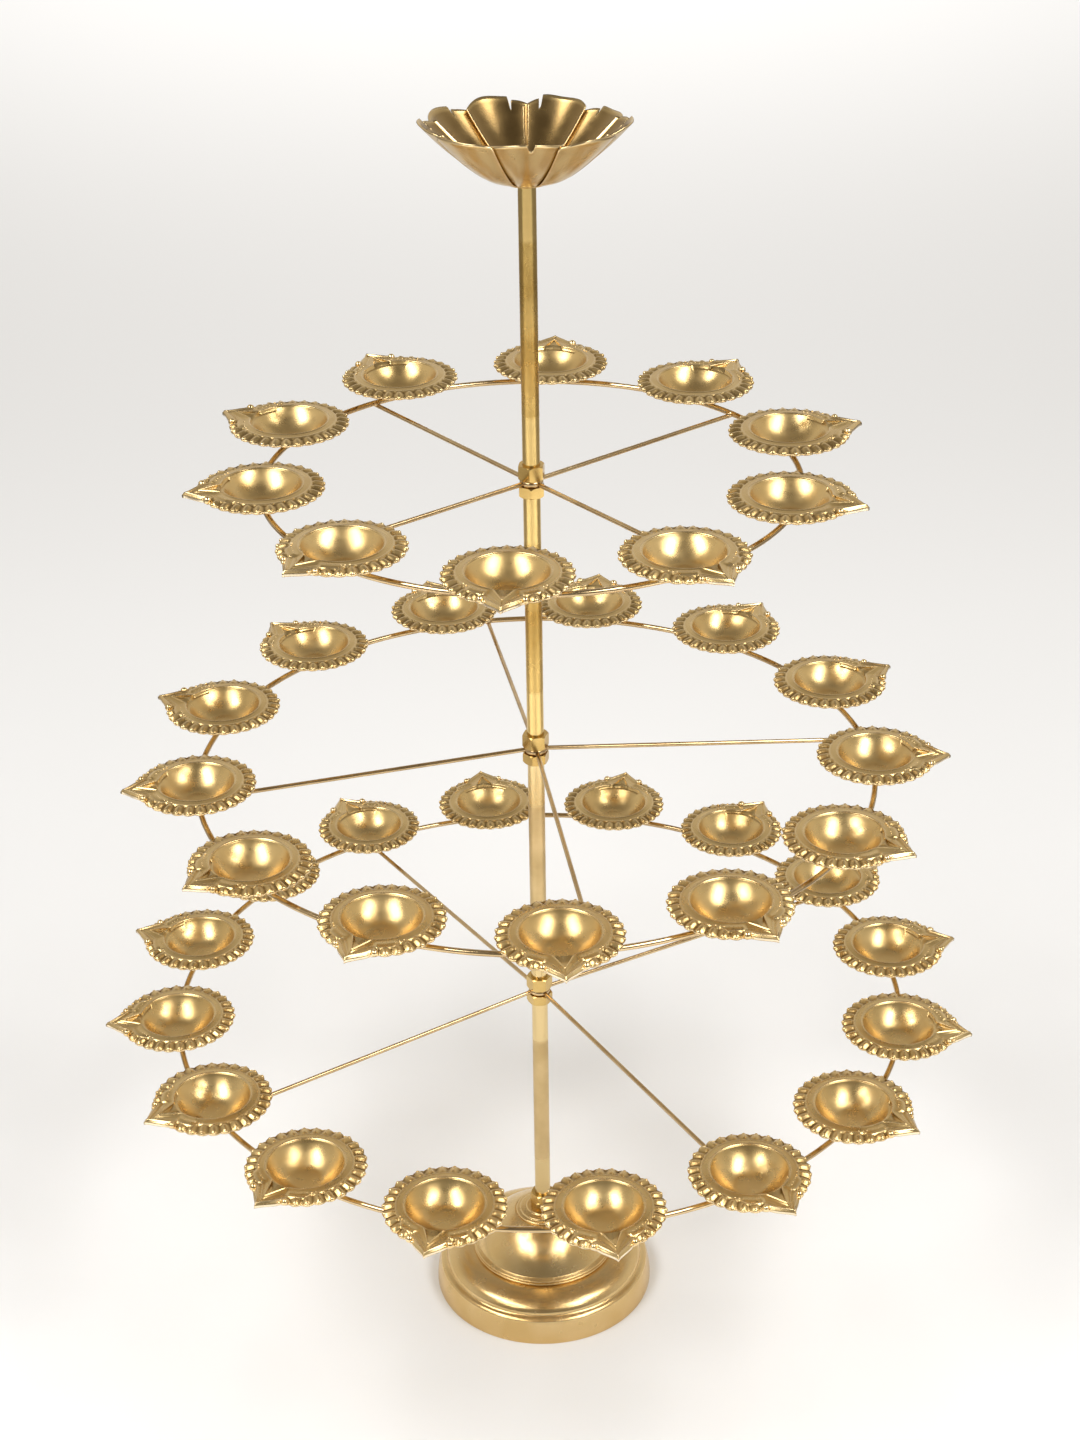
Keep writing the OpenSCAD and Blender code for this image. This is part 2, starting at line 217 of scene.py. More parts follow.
def turned(name, outline, columns=128, corner=0.3, wobble=None):
    """A ring turned on a lathe from a closed outline of (radius, height) points."""
    section = np.array(rounded(outline, corner))
    angles = np.arange(columns) * TURN / columns
    points = np.empty((columns, len(section), 3))
    points[:, :, 0] = np.cos(angles)[:, None] * section[None, :, 0]
    points[:, :, 1] = np.sin(angles)[:, None] * section[None, :, 0]
    points[:, :, 2] = section[None, :, 1]
    if wobble is not None:
        points = wobble(points, angles)
    points = points.reshape(-1, 3)
    return mesh_from(name, points, outward(points, ring_grid_faces(columns, len(section))))


# ---------------------------------------------------------------- materials


def add_node(tree, kind, place, **settings):
    node = tree.nodes.new(kind)
    node.location = place
    for key, value in settings.items():
        setattr(node, key, value)
    return node


def noise(tree, coordinates, scale, detail, place, stretch=None):
    """Noise on the object's own coordinates, stretched along an axis where asked."""
    if stretch:
        mapping = add_node(tree, "ShaderNodeMapping", (place[0] - 200, place[1]))
        mapping.inputs["Scale"].default_value = stretch
        tree.links.new(coordinates, mapping.inputs["Vector"])
        coordinates = mapping.outputs["Vector"]
    node = add_node(tree, "ShaderNodeTexNoise", place)
    node.inputs["Scale"].default_value = scale
    node.inputs["Detail"].default_value = detail
    tree.links.new(coordinates, node.inputs["Vector"])
    return node.outputs["Fac"]


def ramp(tree, factor, stops, place):
    node = add_node(tree, "ShaderNodeValToRGB", place)
    while len(node.color_ramp.elements) < len(stops):
        node.color_ramp.elements.new(0.5)
    for element, (position, colour) in zip(node.color_ramp.elements, stops):
        element.position = position
        element.color = (*colour, 1)
    tree.links.new(factor, node.inputs["Fac"])
    return node.outputs["Color"]


def scaled(tree, value, low, high, place, from_low=0.0, from_high=1.0):
    node = add_node(tree, "ShaderNodeMapRange", place)
    tree.links.new(value, node.inputs["Value"])
    for key, number in (("From Min", from_low), ("From Max", from_high), ("To Min", low), ("To Max", high)):
        node.inputs[key].default_value = number
    return node.outputs["Result"]


def brass(name, light, dark, rough, worn, grain=900.0, grain_depth=0.02, dents=0.03, stretch=None,
          worn_rough=0.14):
    """Satin brass: cloudy colour, a fine blasted grain, soft dents, polishing on its worn high spots, and
    painted shade, darkened towards brown, where the point attribute is below zero.
    """
    material = bpy.data.materials.new(name)
    material.use_nodes = True
    tree = material.node_tree
    shader = tree.nodes["Principled BSDF"]
    shader.inputs["Metallic"].default_value = 1.0
    where = add_node(tree, "ShaderNodeTexCoord", (-1300, 0)).outputs["Object"]
    clouds = noise(tree, where, 38.0, 4.0, (-1000, 300))
    specks = noise(tree, where, grain, 2.0, (-1000, 0), stretch)
    smudges = noise(tree, where, 120.0, 5.0, (-1000, -300))
    wear_and_shade_amount = add_node(tree, "ShaderNodeAttribute", (-1000, -600), attribute_name="wear_and_shade").outputs["Fac"]

    cloudy = ramp(tree, clouds, ((0.36, dark), (0.62, light)), (-700, 300))
    mixed = add_node(tree, "ShaderNodeMix", (-400, 300), data_type="RGBA")
    tree.links.new(wear_and_shade_amount, mixed.inputs["Factor"])
    tree.links.new(cloudy, mixed.inputs["A"])
    mixed.inputs["B"].default_value = (*worn, 1)
    # painted shade: below zero, the point attribute mixes the colour towards a dark brown that stands in for
    # shade
    painted_shade = add_node(tree, "ShaderNodeMath", (-400, 600), operation="MULTIPLY", use_clamp=True)
    tree.links.new(wear_and_shade_amount, painted_shade.inputs[0])
    painted_shade.inputs[1].default_value = -1.0
    painted_shade_mix = add_node(tree, "ShaderNodeMix", (-200, 300), data_type="RGBA")
    tree.links.new(painted_shade.outputs["Value"], painted_shade_mix.inputs["Factor"])
    tree.links.new(mixed.outputs["Result"], painted_shade_mix.inputs["A"])
    painted_shade_mix.inputs["B"].default_value = (0.42 * dark[0], 0.37 * dark[1], 0.32 * dark[2], 1)
    tree.links.new(painted_shade_mix.outputs["Result"], shader.inputs["Base Color"])

    satin = scaled(tree, smudges, rough * 0.82, rough * 1.2, (-700, -200), 0.3, 0.7)
    rough_mix = add_node(tree, "ShaderNodeMix", (-400, -200), data_type="FLOAT")
    tree.links.new(wear_and_shade_amount, rough_mix.inputs["Factor"])
    tree.links.new(satin, rough_mix.inputs["A"])
    rough_mix.inputs["B"].default_value = worn_rough
    tree.links.new(rough_mix.outputs["Result"], shader.inputs["Roughness"])

    fine = add_node(tree, "ShaderNodeBump", (-400, -500))
    fine.inputs["Strength"].default_value = 0.6
    fine.inputs["Distance"].default_value = grain_depth * MM
    tree.links.new(specks, fine.inputs["Height"])
    soft = add_node(tree, "ShaderNodeBump", (-200, -500))
    soft.inputs["Strength"].default_value = 0.6
    soft.inputs["Distance"].default_value = dents * MM
    tree.links.new(noise(tree, where, 70.0, 1.0, (-1000, -900)), soft.inputs["Height"])
    tree.links.new(fine.outputs["Normal"], soft.inputs["Normal"])
    tree.links.new(soft.outputs["Normal"], shader.inputs["Normal"])
    return material


CUP_BRASS = brass("satin_cup_brass", (0.70, 0.505, 0.225), (0.62, 0.43, 0.175), 0.29, (0.92, 0.78, 0.58))
BASE_BRASS = brass("satin_base_brass", (0.76, 0.55, 0.265), (0.69, 0.475, 0.20), 0.24, (0.9, 0.76, 0.5))
LOTUS_BRASS = brass("sheet_petal_brass", (0.60, 0.43, 0.19), (0.50, 0.345, 0.14), 0.24, (0.85, 0.66, 0.38),
                    grain=500.0)
WIRE_BRASS = brass("drawn_wire_brass", (0.66, 0.49, 0.27), (0.50, 0.35, 0.18), 0.14, (0.85, 0.72, 0.5),
                   grain=300.0, grain_depth=0.03)
POLE_BRASS = brass("lacquered_pole_brass", (0.66, 0.45, 0.15), (0.46, 0.29, 0.08), 0.28, (0.78, 0.56, 0.22),
                   grain=1.0, grain_depth=0.12, dents=0.3, stretch=(420, 420, 160), worn_rough=0.21)
RUBBED_BRASS = brass("rubbed_pole_brass", (0.66, 0.49, 0.25), (0.52, 0.37, 0.17), 0.34, (0.78, 0.6, 0.3),
                     grain=1.0, grain_depth=0.06, dents=0.2, stretch=(900, 900, 70), worn_rough=0.18)
NUT_BRASS = brass("plated_nut_brass", (0.66, 0.46, 0.17), (0.54, 0.35, 0.11), 0.22, (0.9, 0.8, 0.6))


# The hidden studs and the nut inside the base
STEEL = brass("zinc_plated_steel", (0.55, 0.55, 0.53), (0.42, 0.42, 0.41), 0.35, (0.7, 0.7, 0.7))


# ---------------------------------------------------------------- oil cups


def rib_height(angle):
    """1 on the rounded crest of each rib round the saucer and 0 in the groove between two."""
    from_crest = np.abs((RIBS * angle / TURN) % 1 - 0.5) * 2
    return (1 - from_crest ** 2) ** 1.9


def beside_spout(angle):
    """1 on both sides of the spout, where a smooth roll and a row of ticks push the ribs outwards."""
    away = np.degrees(np.abs(angle))
    return float(np.clip((47 - away) / 8.0, 0, 1))


def spout_share(angle):
    """1 along the spout, falling to 0 where the ribs start."""
    away = np.degrees(np.abs(angle))
    return np.clip((21.5 - away) / 5.0, 0, 1)


def spout_edge(angle):
    """Distance of the spout's outline from the cup's middle, found by halving."""
    low, high = SAUCER - 4.0, SPOUT_TIP
    for _ in range(40):
        middle = (low + high) / 2
        along = np.clip((middle * math.cos(angle) - SPOUT_ROOT) / (SPOUT_TIP - SPOUT_ROOT), 0, 1)
        half = SPOUT_HALF_WIDTH * math.cos(along * math.pi / 2) ** 1.4
        if middle * math.sin(abs(angle)) < half:
            low = middle
        else:
            high = middle
    return low


def saucer_edge(angle):
    plain = SAUCER - 1.2 + 1.2 * rib_height(angle) ** 0.55
    if abs(angle) < math.radians(24):
        return max(plain if abs(angle) > math.radians(15) else 0.0, spout_edge(angle))
    return plain


def opening_edge(angle):
    """Edge of the bowl, which runs out into the wick channel at the spout."""
    lane = CHANNEL_END * CHANNEL_HALF_WIDTH / (
        (CHANNEL_END - CHANNEL_ROOT) * math.sin(abs(angle)) + CHANNEL_HALF_WIDTH * math.cos(angle))
    if abs(angle) > math.pi / 2:
        return BOWL_OPENING
    blend = 0.6
    return math.log(math.exp(BOWL_OPENING / blend) + math.exp(min(lane, CHANNEL_END) / blend)) * blend


def bowl_inside(x, y):
    """Height of the inside of the bowl and of the wick channel."""
    distance = np.hypot(x, y)
    sphere = BOWL_CENTRE - np.sqrt(np.maximum(BOWL_SPHERE ** 2 - np.minimum(distance, 22.5) ** 2, 0))
    bowl = np.maximum(sphere, BOWL_FLOOR + 0.02 * distance)
    depth = 1.7 * np.clip(1 - (x - CHANNEL_ROOT) / (CHANNEL_END - CHANNEL_ROOT), 0, 1.0) ** 0.8
    channel = CUP_RIM - 0.2 - depth
    in_lane = x > CHANNEL_ROOT - 4
    return np.where(in_lane & (distance > BOWL_OPENING * 0.9), np.minimum(np.minimum(bowl, CUP_RIM), channel),
                    np.where(in_lane, np.minimum(bowl, np.maximum(channel, 0)), bowl))


def cup_column(angle):
    """One radial section of a cup: its (radius, height, polishing and painted shade) points from the middle of
    the bowl over the rim and back under to the middle of the foot; the third value is below zero where shade
    is painted into the grooves between the ribs."""
    opening, edge = opening_edge(angle), saucer_edge(angle)
    rib, spout = float(rib_height(angle)), float(spout_share(angle))
    cos_a, sin_a = math.cos(angle), math.sin(angle)
    rows = []
    wall = BOWL_OPENING * np.linspace(0.08, 0.925, 10)
    for r in np.concatenate([wall, np.linspace(BOWL_OPENING * 0.95, opening * 0.988, 5)]):
        rows.append((r, float(bowl_inside(r * cos_a, r * sin_a)), 0.0))
    lip = 1 + 0.9 * min(1.0, (opening - BOWL_OPENING) / 3)
    for step, lift, shine in ((0.0, -0.3, 0.0), (0.2, 0.08, 0.1), (0.55, 0.32, 0.25), (0.95, 0.24, 0.1),
                              (1.4, -0.02, 0.0)):
        rows.append((opening + step, CUP_RIM + lift * lip, shine))
    band_start = opening + 1.8
    side = beside_spout(angle) * (1 - spout)
    ribbed = (RIBBED_FROM + 2.4 * side) * (1 - spout) + spout * (band_start + 0.42 * (edge - band_start))
    ribbed = max(ribbed, band_start + 0.8)
    for t in (0.0, 0.4, 0.62, 0.85):
        roll = 0.75 * side * max(0.0, math.sin(math.pi * (t - 0.35) / 0.65))
        rows.append((band_start + t * (ribbed - 0.4 - band_start),
                     CUP_RIM - 0.05 - 0.4 * t - 0.5 * spout * t + roll, 0.0))
    rows.append((ribbed - 0.15, CUP_RIM - 0.2 - 0.5 * spout, 0.2))
    rows.append((ribbed + 0.2, CUP_RIM - 0.3 - 0.5 * spout, 0.1))
    for q in np.linspace(0.06, 1.0, 10):
        r = ribbed + 0.4 + q * (edge - ribbed - 0.4)
        arch = min(1.0, q / 0.2) ** 0.6 * min(1.0, (1.03 - q) / 0.25) ** 0.5
        ribbed_z = CUP_RIM - 1.3 - 1.3 * q ** 1.6 + 1.3 * rib * arch
        ridge = math.exp(-((q - 0.62) / 0.2) ** 2)
        spout_z = CUP_RIM - 0.95 + 1.1 * ridge - 0.5 * q ** 4
        # the third value polishes the rib crests and paints shade into the grooves between the ribs
        rows.append((r, (1 - spout) * ribbed_z + spout * spout_z,
                     (1 - spout) * (rib ** 3 * arch * 0.12 - 0.75 * (1 - rib) ** 1.5) + spout * 0.25 * ridge))
    shine = 0.25 + 0.5 * spout
    for inward, drop, extra in ((-0.05, 1.9, shine), (-0.1, 2.5, shine), (0.1, SKIRT - 0.15, shine),
                                (0.5, SKIRT, 0.4)):
        rows.append((edge - inward, CUP_RIM - drop, extra))
    under = [(edge - 1.0, CUP_RIM - SKIRT + 0.25), (edge - 1.5, CUP_RIM - 2.6)]
    inner = max(23.0, min(opening + 1.2, edge - 3))
    under.append((inner + 0.6 * (edge - 1.5 - inner), CUP_RIM - 2.4 - 0.6 * spout))
    under.append((inner, CUP_RIM - 2.3 - 1.0 * spout))
    for r in (22.0, 20.0, 17.0, 13.5, 10.5, 8.4):
        sphere = BOWL_CENTRE - math.sqrt((BOWL_SPHERE + CUP_WALL) ** 2 - r * r)
        under.append((r, max(sphere, 0.15)))
    under += [(CUP_FOOT, 0.02), (CUP_FOOT - 0.6, 0.0), (3.0, 0.0)]
    rows += [(r, z, 0.0) for r, z in under]
    return rows


def cup_mesh_data():
    """Points, faces and polishing with painted shade of one cup, standing on z = 0 with its spout along +X."""
    coarse = np.arange(RIBS * 10) * TURN / (RIBS * 10)
    fine = np.radians(np.arange(-24, 24.01, 0.8))
    angles = np.array(sorted(set(np.round(np.concatenate(
        [[a for a in coarse if 24.4 < math.degrees(a) < 335.6], fine % TURN]), 6))))
    signed = np.where(angles > math.pi, angles - TURN, angles)
    columns = [cup_column(float(a)) for a in signed]
    rows = len(columns[0])
    data = np.array(columns)
    points = np.stack([data[:, :, 0] * np.cos(signed)[:, None], data[:, :, 0] * np.sin(signed)[:, None],
                       data[:, :, 1]], axis=2).reshape(-1, 3)
    polish_and_shade = data[:, :, 2].reshape(-1)
    middle_top = [0, 0, float(bowl_inside(np.array(0.0), np.array(0.0)))]
    points = np.vstack([points, middle_top, [0, 0, 0]])
    polish_and_shade = np.append(polish_and_shade, [0, 0])
    faces = closed_grid_faces(len(columns), rows, len(points) - 2, len(points) - 1)
    return points, outward(points, faces), polish_and_shade


def make_cups(tier, shape):
    """The oil cups of one tier, each a piece of its own over its CAD cup."""
    points, faces, polish_and_shade = shape
    ring_outer, ring_low, ring_high = radius_and_height("ring_" + tier)
    wire = (ring_high - ring_low) / 2
    ring_radius, foot = ring_outer - wire, (ring_low + ring_high) / 2 + CUP_SINK
    first = mesh_from("oil_cup_" + tier, points, faces, polish_and_shade)
    for node in sorted(n for n in frame["nodes"] if n.startswith("cup_" + tier)):
        angle = bearing_of(node)
        place = Matrix.Rotation(angle, 4, "Z") @ Matrix.Translation((ring_radius * MM, 0, foot * MM))
        mesh = first.copy()
        mesh.transform(place)
        add_piece("oil_" + node, mesh, tier + "_tier", CUP_BRASS, [node])
    bpy.data.meshes.remove(first)


# ---------------------------------------------------------------- geometry node trees


class NodeSheet:
    """A short way to write a geometry node tree: each call adds a node and links what it is given."""

    def __init__(self, name, inputs):
        self.group = bpy.data.node_groups.new(name, "GeometryNodeTree")
        for label, kind in inputs:
            self.group.interface.new_socket(label, in_out="INPUT", socket_type="NodeSocket" + kind)
        self.group.interface.new_socket("Geometry", in_out="OUTPUT", socket_type="NodeSocketGeometry")
        self.start = self.group.nodes.new("NodeGroupInput")

    def given(self, label):
        return self.start.outputs[label]

    def add(self, kind, inputs=None, out=0, **settings):
        node = self.group.nodes.new(kind)
        node.location = (180 * len(self.group.nodes), 0)
        for key, value in settings.items():
            setattr(node, key, value)
        for key, value in (inputs or {}).items():
            socket = node.inputs[key]
            if isinstance(value, bpy.types.NodeSocket):
                self.group.links.new(value, socket)
            else:
                socket.default_value = value
        return node.outputs[out]

    def math(self, operation, a, b=0.0):
        return self.add("ShaderNodeMath", {0: a, 1: b}, operation=operation)

    def polar(self, radius, angle, height):
        """A point at a radius and an angle about Z."""
        x = self.math("MULTIPLY", radius, self.math("COSINE", angle))
        y = self.math("MULTIPLY", radius, self.math("SINE", angle))
        return self.add("ShaderNodeCombineXYZ", {"X": x, "Y": y, "Z": height})

    def end(self, geometry):
        real = self.add("GeometryNodeRealizeInstances", {"Geometry": geometry})
        smooth = self.add("GeometryNodeSetShadeSmooth", {"Geometry": real})
        dressed = self.add("GeometryNodeSetMaterial", {"Geometry": smooth, "Material": self.given("Material")})
        finish = self.group.nodes.new("NodeGroupOutput")
        self.group.links.new(dressed, finish.inputs["Geometry"])
        return self.group


def grown(name, tree, values):
    """Runs a geometry node tree with the given inputs and returns its result as a plain mesh."""
    grower = bpy.data.objects.new(name, bpy.data.meshes.new(name))
    bpy.context.scene.collection.objects.link(grower)
    modifier = grower.modifiers.new("grow", "NODES")
    modifier.node_group = tree
    for item in tree.interface.items_tree:
        if item.in_out == "INPUT" and item.name in values:
            modifier[item.identifier] = values[item.name]
    ready = grower.evaluated_get(bpy.context.evaluated_depsgraph_get())
    mesh = bpy.data.meshes.new_from_object(ready)
    grower.modifiers.remove(modifier)
    bpy.data.objects.remove(grower)
    mesh.name = name
    return mesh


def bead_tree():
    """Small beads in a row round the edge of every cup of a tier."""
    sheet = NodeSheet("beads_round_the_cups", (
        ("Cups", "Int"), ("First Cup Angle", "Float"), ("Ring Radius", "Float"), ("Height", "Float"),
        ("Beads", "Int"), ("First Bead Angle", "Float"), ("Bead Step", "Float"), ("Row Radius", "Float"),
        ("Bead Radius", "Float"), ("Seed", "Int"), ("Material", "Material")))
    beads = sheet.given("Beads")
    total = sheet.math("MULTIPLY", sheet.given("Cups"), beads)
    dots = sheet.add("GeometryNodePoints", {"Count": total})
    index = sheet.add("GeometryNodeInputIndex")
    cup = sheet.math("FLOOR", sheet.math("DIVIDE", index, beads))
    bead = sheet.math("SUBTRACT", index, sheet.math("MULTIPLY", cup, beads))
    step = sheet.math("DIVIDE", TURN, sheet.given("Cups"))
    cup_angle = sheet.math("SUBTRACT", sheet.given("First Cup Angle"), sheet.math("MULTIPLY", cup, step))
    along_row = sheet.math("MULTIPLY", bead, sheet.given("Bead Step"))
    turn = sheet.math("ADD", sheet.given("First Bead Angle"), along_row)
    rim = sheet.polar(sheet.given("Row Radius"), sheet.math("ADD", cup_angle, turn), sheet.given("Height"))
    centre = sheet.polar(sheet.given("Ring Radius"), cup_angle, 0.0)
    place = sheet.add("ShaderNodeVectorMath", {0: centre, 1: rim}, operation="ADD")
    placed = sheet.add("GeometryNodeSetPosition", {"Geometry": dots, "Position": place})
    ball = sheet.add("GeometryNodeMeshIcoSphere", {"Radius": sheet.given("Bead Radius"), "Subdivisions": 2})
    uneven = sheet.add("FunctionNodeRandomValue", {2: 0.82, 3: 1.1, "Seed": sheet.given("Seed")}, out=1)
    beaded = sheet.add("GeometryNodeInstanceOnPoints", {"Points": placed, "Instance": ball, "Scale": uneven})
    return sheet.end(beaded)


def wire_tree():
    """A ring wire with its spokes and the small hub ring that they grow out of."""
    sheet = NodeSheet("ring_wire_and_spokes", (
        ("Ring Radius", "Float"), ("Ring Height", "Float"), ("Wire Radius", "Float"), ("Hub Height", "Float"),
        ("Hub Inner Radius", "Float"), ("Hub Outer Radius", "Float"), ("Hub Thickness", "Float"),
        ("Spokes", "Int"), ("First Spoke Angle", "Float"), ("Spoke Radius", "Float"),
        ("Spoke End Height", "Float"), ("Hand Bend", "Float"), ("Seed", "Float"), ("Material", "Material")))
    # the ring, bent by hand and so never quite true
    circle = sheet.add("GeometryNodeCurvePrimitiveCircle", {
        "Resolution": 240, "Radius": sheet.given("Ring Radius")})
    here = sheet.add("GeometryNodeInputPosition")
    waves = sheet.add("ShaderNodeTexNoise", {
        "Vector": here, "W": sheet.given("Seed"), "Scale": 9.0, "Detail": 1.0}, noise_dimensions="4D")
    sway = sheet.math("MULTIPLY", sheet.math("SUBTRACT", waves, 0.5), sheet.given("Hand Bend"))
    outward_way = sheet.add("ShaderNodeVectorMath", {0: here}, operation="NORMALIZE")
    shift = sheet.add("ShaderNodeVectorMath", {0: outward_way, "Scale": sway}, operation="SCALE")
    bent = sheet.add("GeometryNodeSetPosition", {"Geometry": circle, "Offset": shift})
    wire_section = sheet.add("GeometryNodeCurvePrimitiveCircle", {
        "Resolution": 14, "Radius": sheet.given("Wire Radius")})
    wire = sheet.add("GeometryNodeCurveToMesh", {"Curve": bent, "Profile Curve": wire_section})
    up = sheet.add("ShaderNodeCombineXYZ", {"Z": sheet.given("Ring Height")})
    ring = sheet.add("GeometryNodeTransform", {"Geometry": wire, "Translation": up})
    # one spoke, from the hub to the inside of the ring, then turned round the hub
    into_hub = sheet.math("ADD", sheet.given("Hub Inner Radius"), 0.0015)
    begin = sheet.add("ShaderNodeCombineXYZ", {"X": into_hub, "Z": sheet.given("Hub Height")})
    finish = sheet.add("ShaderNodeCombineXYZ", {
        "X": sheet.given("Ring Radius"), "Z": sheet.given("Spoke End Height")})
    line = sheet.add("GeometryNodeCurvePrimitiveLine", {"Start": begin, "End": finish})
    many = sheet.add("GeometryNodeResampleCurve", {"Curve": line, "Count": 40})
    spoke_section = sheet.add("GeometryNodeCurvePrimitiveCircle", {
        "Resolution": 12, "Radius": sheet.given("Spoke Radius")})
    spoke = sheet.add("GeometryNodeCurveToMesh", {
        "Curve": many, "Profile Curve": spoke_section, "Fill Caps": True})
    dots = sheet.add("GeometryNodePoints", {"Count": sheet.given("Spokes")})
    index = sheet.add("GeometryNodeInputIndex")
    step = sheet.math("DIVIDE", TURN, sheet.given("Spokes"))
    angle = sheet.math("ADD", sheet.given("First Spoke Angle"), sheet.math("MULTIPLY", index, step))
    rotation = sheet.add("ShaderNodeCombineXYZ", {"Z": angle})
    spokes = sheet.add("GeometryNodeInstanceOnPoints", {
        "Points": dots, "Instance": spoke, "Rotation": rotation})
    # the braze that joins each spoke to the wire
    lump = sheet.add("GeometryNodeMeshIcoSphere", {
        "Radius": sheet.math("MULTIPLY", sheet.given("Wire Radius"), 1.25), "Subdivisions": 3})
    braze_reach = sheet.math("SUBTRACT", sheet.given("Ring Radius"), sheet.given("Wire Radius"))
    braze_place = sheet.polar(braze_reach, angle, sheet.given("Ring Height"))
    braze_dots = sheet.add("GeometryNodeSetPosition", {"Geometry": dots, "Position": braze_place})
    brazes = sheet.add("GeometryNodeInstanceOnPoints", {"Points": braze_dots, "Instance": lump})
    # the hub ring
    both = sheet.math("ADD", sheet.given("Hub Inner Radius"), sheet.given("Hub Outer Radius"))
    middle = sheet.math("MULTIPLY", both, 0.5)
    across = sheet.math("SUBTRACT", sheet.given("Hub Outer Radius"), sheet.given("Hub Inner Radius"))
    hub_path = sheet.add("GeometryNodeCurvePrimitiveCircle", {"Resolution": 48, "Radius": middle})
    hub_section = sheet.add("GeometryNodeCurvePrimitiveQuadrilateral", {
        "Width": across, "Height": sheet.given("Hub Thickness")})
    hub_ring = sheet.add("GeometryNodeCurveToMesh", {"Curve": hub_path, "Profile Curve": hub_section})
    hub_up = sheet.add("ShaderNodeCombineXYZ", {"Z": sheet.given("Hub Height")})
    hub = sheet.add("GeometryNodeTransform", {"Geometry": hub_ring, "Translation": hub_up})
    joined = sheet.group.nodes.new("GeometryNodeJoinGeometry")
    for part in (hub, brazes, spokes, ring):
        sheet.group.links.new(part, joined.inputs[0])
    return sheet.end(joined.outputs[0])


def spoke_angle(tier):
    """Angle of one spoke from +X: the direction of the point of the CAD spider that is furthest out."""
    mesh = frame["nodes"]["spider_" + tier].data
    points = np.empty(len(mesh.vertices) * 3)
    mesh.vertices.foreach_get("co", points)
    points = points.reshape(-1, 3)
    reach = np.hypot(points[:, 0], points[:, 1])
    far = points[reach > reach.max() - 1.5 * MM]
    folded = (np.arctan2(far[:, 1], far[:, 0]) * SPOKES) % TURN
    return math.atan2(np.sin(folded).mean(), np.cos(folded).mean()) / SPOKES


def make_wires(tier, tree, seed):
    ring_outer, ring_low, ring_high = radius_and_height("ring_" + tier)
    wire = (ring_high - ring_low) / 2
    values = {
        "Ring Radius": (ring_outer - wire - RING_SHY) * MM,
        "Ring Height": (ring_low + ring_high) / 2 * MM,
        "Wire Radius": wire * MM,
        "Hub Height": joint_height(tier + "_tier_turn") * MM,
        "Hub Inner Radius": HUB_BORE * MM,
        "Hub Outer Radius": HUB_OUTSIDE * MM,
        "Hub Thickness": HUB_THICK * MM,
        "Spokes": SPOKES,
        "First Spoke Angle": spoke_angle(tier),
        "Spoke Radius": SPOKE_RADIUS * MM,
        "Spoke End Height": ((ring_low + ring_high) / 2 - SPOKE_SINK) * MM,
        "Hand Bend": HAND_BEND * MM,
        "Seed": float(seed),
        "Material": WIRE_BRASS,
    }
    mesh = grown("ring_and_spokes_" + tier, tree, values)
    add_piece("ring_and_spokes_" + tier, mesh, tier + "_tier", WIRE_BRASS,
              ["ring_" + tier, "spider_" + tier])


BEAD_BRASS = brass("worn_bead_brass", (0.88, 0.68, 0.38), (0.76, 0.54, 0.24), 0.16, (0.95, 0.9, 0.8))

# Rows of beads on each cup: name, count, first angle, step, distance from the cup's middle,
# height over the rim plane and bead radius
BEAD_ROWS = (
    ("rim_beads", 26, math.radians(30), math.radians(12), SAUCER - 0.75, -2.1, 1.15),
    ("spout_curl_left", 1, math.radians(20), 0.0, 31.2, -1.3, 2.2),
    ("spout_curl_right", 1, math.radians(-20), 0.0, 31.2, -1.3, 2.2),
    ("small_beads_left", 3, math.radians(25), math.radians(11.5), SAUCER - 0.9, -2.1, 0.8),
    ("small_beads_right", 3, math.radians(-25), math.radians(-11.5), SAUCER - 0.9, -2.1, 0.8),
    ("spout_root_left", 1, math.radians(15.4), 0.0, 32.6, -1.5, 1.15),
    ("spout_root_right", 1, math.radians(-15.4), 0.0, 32.6, -1.5, 1.15),
    ("leaf_ticks_left", 6, math.radians(27), math.radians(5.2), 24.7, -0.35, 0.6),
    ("leaf_ticks_right", 6, math.radians(-27), math.radians(-5.2), 24.7, -0.35, 0.6),
)


def make_beads(tier, tree, seed):
    ring_outer, ring_low, ring_high = radius_and_height("ring_" + tier)
    cups = sorted(n for n in frame["nodes"] if n.startswith("cup_" + tier))
    rim = (ring_low + ring_high) / 2 + CUP_SINK + CUP_RIM
    for row, (name, count, first, step, distance, lift, size) in enumerate(BEAD_ROWS):
        values = {
            "Cups": len(cups),
            "First Cup Angle": bearing_of(cups[0]),
            "Ring Radius": (ring_outer - (ring_high - ring_low) / 2) * MM,
            "Height": (rim + lift) * MM,
            "Beads": count,
            "First Bead Angle": first,
            "Bead Step": step,
            "Row Radius": distance * MM,
            "Bead Radius": size * MM,
            "Seed": seed * 10 + row,
            "Material": BEAD_BRASS,
        }
        mesh = grown(name + "_" + tier, tree, values)
        add_piece(name + "_" + tier, mesh, tier + "_tier", BEAD_BRASS)


# ---------------------------------------------------------------- lotus cup


# For each petal from the front round to the back and on: how far out its sheet lies, the place of
# its notch across the petal (-1 to 1), the notch's half width and depth, and how low its rim is bent
PETAL_PLAN = (
    (-0.6, 0.12, 0.075, 4.0, 0.0), (0.6, 0.66, 0.03, 3.5, 0.3), (-0.6, 0.50, 0.035, 5.0, 1.5),
    (0.6, 0.46, 0.03, 4.0, 4.6), (-0.3, 0.50, 0.035, 5.0, 4.0), (-0.6, -0.46, 0.035, 5.0, 4.0),
    (0.6, -0.46, 0.03, 4.0, 3.4), (-0.6, -0.50, 0.035, 5.0, 1.5), (0.6, -0.62, 0.03, 3.5, 0.0))


